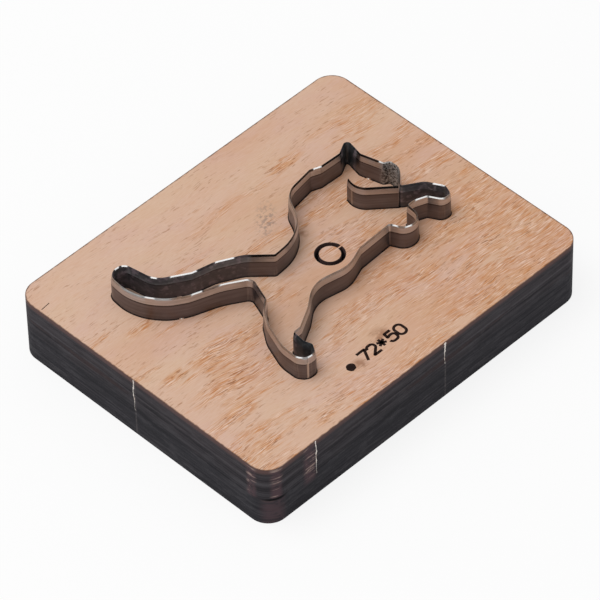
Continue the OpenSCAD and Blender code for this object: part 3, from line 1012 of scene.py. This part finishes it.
class DIE_OT_raise_splinters(bpy.types.Operator):
    """Raises the torn fibres where the board broke from its holding tabs"""

    bl_idname = "die.raise_splinters"
    bl_label = "Raise Splinters"

    # Tabs: a point of the side, the way along it, how far down the fibres reach and their half width
    TABS = (
        ((-50.0, 1.9), (0, -1), 9.8, 0.3),
        ((-35.0, -39.5), (1, 0), 10.5, 0.3),
        ((5.3, -39.5), (1, 0), 6.8, 0.32),
    )
    # Bridges with fibres pressed up beside the rule: number along the outline and the side they stand on
    BRIDGES = ((0, 1), (2, -1))
    # Steps down a tab, how far splinters are sunk into the board, and their gap to the rule
    DOWN_STEPS, SUNK, GAP = 30, 0.02, 0.04

    def execute(self, context):
        bm = bmesh.new()
        for number, tab in enumerate(self.TABS):
            self.tear_tab(bm, number, *tab)
        path = BentPath(OUTLINE)
        near = context.scene.die_rule.thickness / MM / 2 + self.GAP
        for number, side in self.BRIDGES:
            self.press_up(bm, path, path.bridges[number], side, near)
        mesh = finished_mesh(bm, "tab_splinters")
        new_piece("tab_splinters", mesh, [raw_wood_finish()])
        return {"FINISHED"}

    def tear_tab(self, bm, number, spot, way, reach, width):
        """Adds a ragged strip of fibres that thins out down a side of the board."""
        (x, y), (way_x, way_y) = spot, way
        out_x, out_y = way_y, -way_x
        rings = []
        for k in range(self.DOWN_STEPS + 1):
            down = k / self.DOWN_STEPS
            sway = 0.3 * noise.noise(Vector((3.2 * down, 3.7 * number, 0.4)))
            sway += 0.14 * noise.noise(Vector((13.0 * down, 2.1 * number, 7.7)))
            thick = width * (0.35 + 1.4 * abs(noise.noise(Vector((9.0 * down, 1.3 * number, 5.0)))))
            thick *= min(1.0, 1.15 - down)
            z = BOARD_TOP - 0.05 - reach * down
            ring = []
            ridge = 0.4 * thick + 0.03
            for along, proud in ((sway - thick, -self.SUNK), (sway, ridge), (sway + thick, -self.SUNK)):
                point_x = x + way_x * along + out_x * proud
                point_y = y + way_y * along + out_y * proud
                ring.append(add_point(bm, point_x, point_y, z))
            rings.append(ring)
        for a, b in zip(rings, rings[1:]):
            for j in range(3):
                bm.faces.new((a[j], b[j], b[(j + 1) % 3], a[(j + 1) % 3]))
        bm.faces.new(rings[0])
        bm.faces.new(rings[-1])

    def press_up(self, bm, path, middle, side, near):
        """Adds a small tuft of fibres that stands beside the rule at a bridge."""
        base = []
        for along, off in ((-0.2, near), (0.2, near), (0.16, near + 0.2), (-0.16, near + 0.2)):
            point = beside(path, middle + along, side * off)
            base.append(add_point(bm, point.x, point.y, BOARD_TOP - self.SUNK))
        point = beside(path, middle + 0.1, side * near)
        tip = add_point(bm, point.x, point.y, BOARD_TOP + 0.26)
        bm.faces.new(base)
        for j in range(4):
            bm.faces.new((base[j], base[(j + 1) % 4], tip))


class DIE_OT_set_stage(bpy.types.Operator):
    """Lays the pale floor, hangs the soft light and sets the camera"""

    bl_idname = "die.set_stage"
    bl_label = "Set Stage"

    # Half width of the floor, and how far the shaded sheet stays in from the board's sides
    FLOOR_HALF, SHADE_INSET = 3.0, 6 * MM
    # Heights of the two sheets, which both lie just below the board
    FLOOR_HEIGHT, SHADE_HEIGHT = -0.05 * MM, -0.02 * MM
    # Share of white that the floor shows; the rest keeps the shadow
    FLOOR_WHITE = 0.84
    # Softbox over the board: its size and place
    SOFTBOX_SIZE, SOFTBOX_PLACE = (1.1, 0.8), (-0.35, 0.25, 1.2)

    def execute(self, context):
        scene = context.scene
        look = scene.die_stage
        scene.view_settings.view_transform = "Standard"
        self.lay_floor(look)
        self.light(look, scene)
        self.aim_camera(look, scene)
        return {"FINISHED"}

    def show_white(self, nodes, output, plain, white, share=None):
        """Gives white to rays that show the background, and the plain shader to the rest."""
        rays = nodes.node("ShaderNodeLightPath").outputs
        seen = rays["Is Camera Ray"]
        for kind in ("Is Glossy Ray", "Is Transmission Ray"):
            seen = nodes.most(seen, rays[kind])
        if share is not None:
            seen = nodes.times(seen, share)
        mixed = nodes.node("ShaderNodeMixShader")
        for source, socket in zip((seen, plain.outputs[0], white.outputs[0]), mixed.inputs):
            nodes.join(source, socket)
        nodes.join(mixed.outputs[0], nodes.node(output).inputs["Surface"])

    def lay_sheet(self, name, half_length, half_depth, height, material):
        bm = bmesh.new()
        bmesh.ops.create_grid(bm, x_segments=1, y_segments=1, size=1.0)
        bmesh.ops.scale(bm, vec=(half_length, half_depth, 1.0), verts=bm.verts)
        mesh = finished_mesh(bm, name)
        mesh.materials.append(material)
        sheet = bpy.data.objects.new(name, mesh)
        sheet.location.z = height
        bpy.context.scene.collection.objects.link(sheet)

    def lay_floor(self, look):
        material = bpy.data.materials.new("pale_floor")
        material.use_nodes = True
        nodes = Nodes(material.node_tree)
        matt = nodes.node("ShaderNodeBsdfDiffuse")
        nodes.join((*look.floor, 1), matt.inputs["Color"])
        glow = nodes.node("ShaderNodeEmission")
        self.show_white(nodes, "ShaderNodeOutputMaterial", matt, glow, self.FLOOR_WHITE)
        self.lay_sheet("floor", self.FLOOR_HALF, self.FLOOR_HALF, self.FLOOR_HEIGHT, material)

        # Under the board the floor gets no light, as the kerfs show
        shaded = Finish("shaded_floor")
        shaded.paint(Base_Color=(0.05, 0.045, 0.04, 1))
        half_length, half_depth = BOARD_HIGH.x - self.SHADE_INSET, BOARD_HIGH.y - self.SHADE_INSET
        self.lay_sheet("floor_under_board", half_length, half_depth, self.SHADE_HEIGHT, shaded.material)

    def light(self, look, scene):
        world = bpy.data.worlds.new("studio")
        world.use_nodes = True
        nodes = Nodes(world.node_tree)
        ambient, white = (nodes.node("ShaderNodeBackground") for _ in range(2))
        nodes.join(look.ambient, ambient.inputs["Strength"])
        for background in (ambient, white):
            nodes.join((1, 1, 1, 1), background.inputs["Color"])
        self.show_white(nodes, "ShaderNodeOutputWorld", ambient, white)
        scene.world = world
        lamp = bpy.data.lights.new("overhead_softbox", "AREA")
        lamp.shape = "RECTANGLE"
        lamp.size, lamp.size_y = self.SOFTBOX_SIZE
        lamp.energy = look.key_power
        hung = bpy.data.objects.new("overhead_softbox", lamp)
        hung.location = self.SOFTBOX_PLACE
        hung.rotation_euler = Vector(hung.location).to_track_quat("Z", "Y").to_euler()
        scene.collection.objects.link(hung)

    def aim_camera(self, look, scene):
        lens = bpy.data.cameras.new("camera")
        lens.sensor_width = 36.0
        lens.lens = look.lens
        camera = bpy.data.objects.new("camera", lens)
        camera.location = look.camera_place
        view = Vector(look.camera_aim) - Vector(look.camera_place)
        camera.rotation_mode = "QUATERNION"
        camera.rotation_quaternion = view.to_track_quat("-Z", "Y") @ Quaternion((0, 0, 1), look.camera_roll)
        scene.collection.objects.link(camera)
        scene.camera = camera


class DIE_PT_panel(bpy.types.Panel):
    """Sizes, colours and steps of the die"""

    bl_label = "Steel Rule Die"
    bl_idname = "DIE_PT_panel"
    bl_space_type = "VIEW_3D"
    bl_region_type = "UI"
    bl_category = "Steel Rule Die"

    def draw(self, context):
        layout = self.layout
        groups = (
            (context.scene.die_board, ("die.dress_board", "die.raise_splinters")),
            (context.scene.die_rule, ("die.bend_rules",)),
            (context.scene.die_mark, ("die.burn_marks",)),
            (context.scene.die_stage, ("die.set_stage",)),
        )
        for look, steps in groups:
            box = layout.box()
            for name in look.__annotations__:
                box.prop(look, name)
            for step in steps:
                box.operator(step)


GROUPS = {"die_board": BoardLook, "die_rule": RuleLook, "die_mark": MarkLook, "die_stage": StageLook}
STEPS = (
    DIE_OT_dress_board, DIE_OT_bend_rules, DIE_OT_burn_marks, DIE_OT_raise_splinters, DIE_OT_set_stage)


def register():
    for group in GROUPS.values():
        bpy.utils.register_class(group)
    for name, group in GROUPS.items():
        setattr(bpy.types.Scene, name, bpy.props.PointerProperty(type=group))
    for step in STEPS:
        bpy.utils.register_class(step)
    bpy.utils.register_class(DIE_PT_panel)


def unregister():
    bpy.utils.unregister_class(DIE_PT_panel)
    for step in reversed(STEPS):
        bpy.utils.unregister_class(step)
    for name in GROUPS:
        delattr(bpy.types.Scene, name)
    for group in reversed(GROUPS.values()):
        bpy.utils.unregister_class(group)


def main():
    register()
    bpy.ops.die.dress_board()
    bpy.ops.die.bend_rules()
    bpy.ops.die.burn_marks()
    bpy.ops.die.raise_splinters()
    bpy.ops.die.set_stage()


if __name__ == "__main__":
    main()
